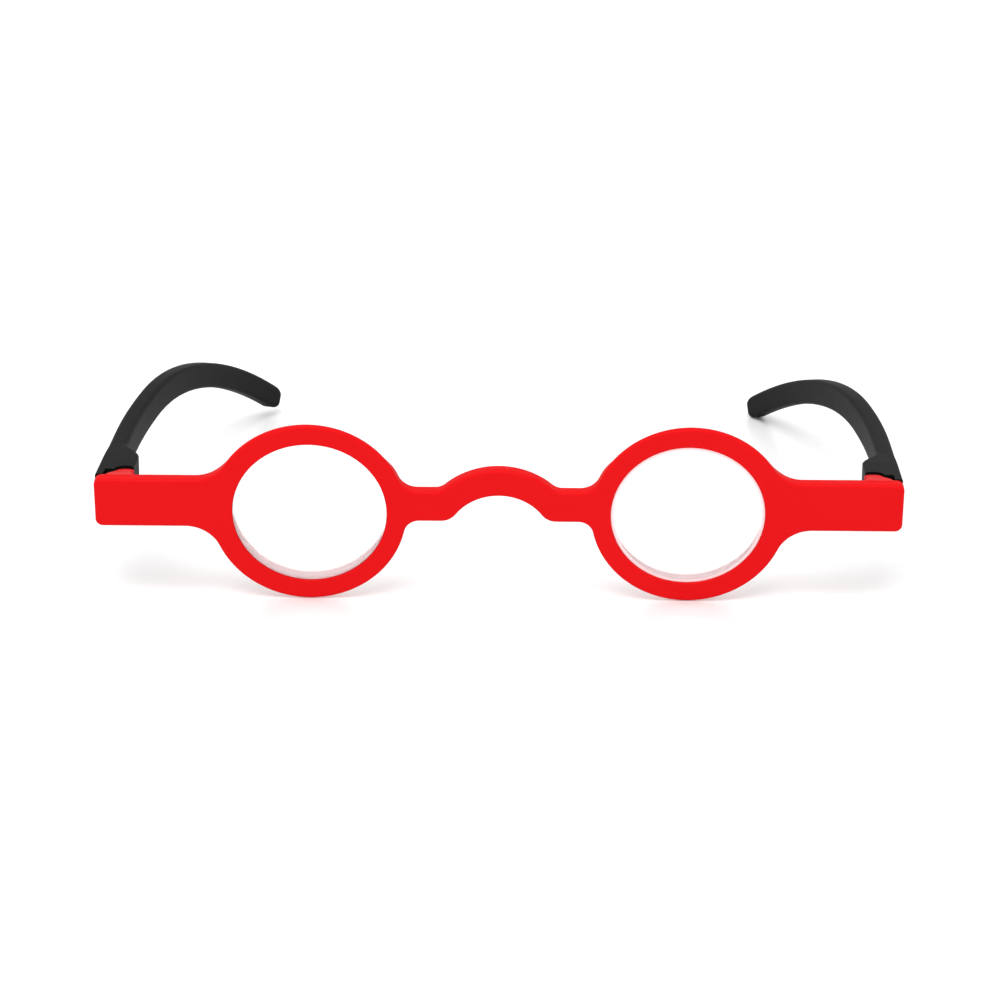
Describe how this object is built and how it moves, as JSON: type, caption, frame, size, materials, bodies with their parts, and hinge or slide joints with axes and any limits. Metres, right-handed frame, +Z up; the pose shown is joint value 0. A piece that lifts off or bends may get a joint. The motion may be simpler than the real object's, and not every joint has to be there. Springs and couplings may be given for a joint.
{
  "type": "folding reading glasses",
  "caption": "Folding reading glasses with a moulded one-piece front, round clear lenses, an arched bridge and temples that fold on screwed hinges.",
  "frame": {"origin": "centre of the footprint of the object's box, at its base: on the surface that the open glasses stand on, midway between the temples", "axes": "+X along the front to the wearer's left, +Y from the front back towards the ears, +Z up; the glasses stand open on the rims and the temple tips"},
  "size_m": [0.1366, 0.1369, 0.0324],
  "materials": {
    "front_plastic": "red soft-touch satin, moulded",
    "temple_plastic": "black soft-touch satin, moulded",
    "clear_lens": "clear polished plastic with a ground edge",
    "screw_steel": "turned, bright"
  },
  "bodies": {
    "front": {"front_frame": "front_plastic", "lens_left": "clear_lens", "lens_right": "clear_lens", "hinge_screw_left": "screw_steel", "hinge_screw_right": "screw_steel"},
    "left_temple": {"temple_left": "temple_plastic"},
    "right_temple": {"temple_right": "temple_plastic"}
  },
  "joints": [
    {"name": "temple_right_fold", "type": "hinge", "parent": "front", "child": "right_temple", "pos_m": [0.0632, -0.0606, 0.01815], "axis": [0, 0, 1], "range_deg": [0, 84]},
    {"name": "temple_left_fold", "type": "hinge", "parent": "front", "child": "left_temple", "pos_m": [-0.0632, -0.0606, 0.01815], "axis": [0, 0, -1], "range_deg": [-2, 76]}
  ]
}
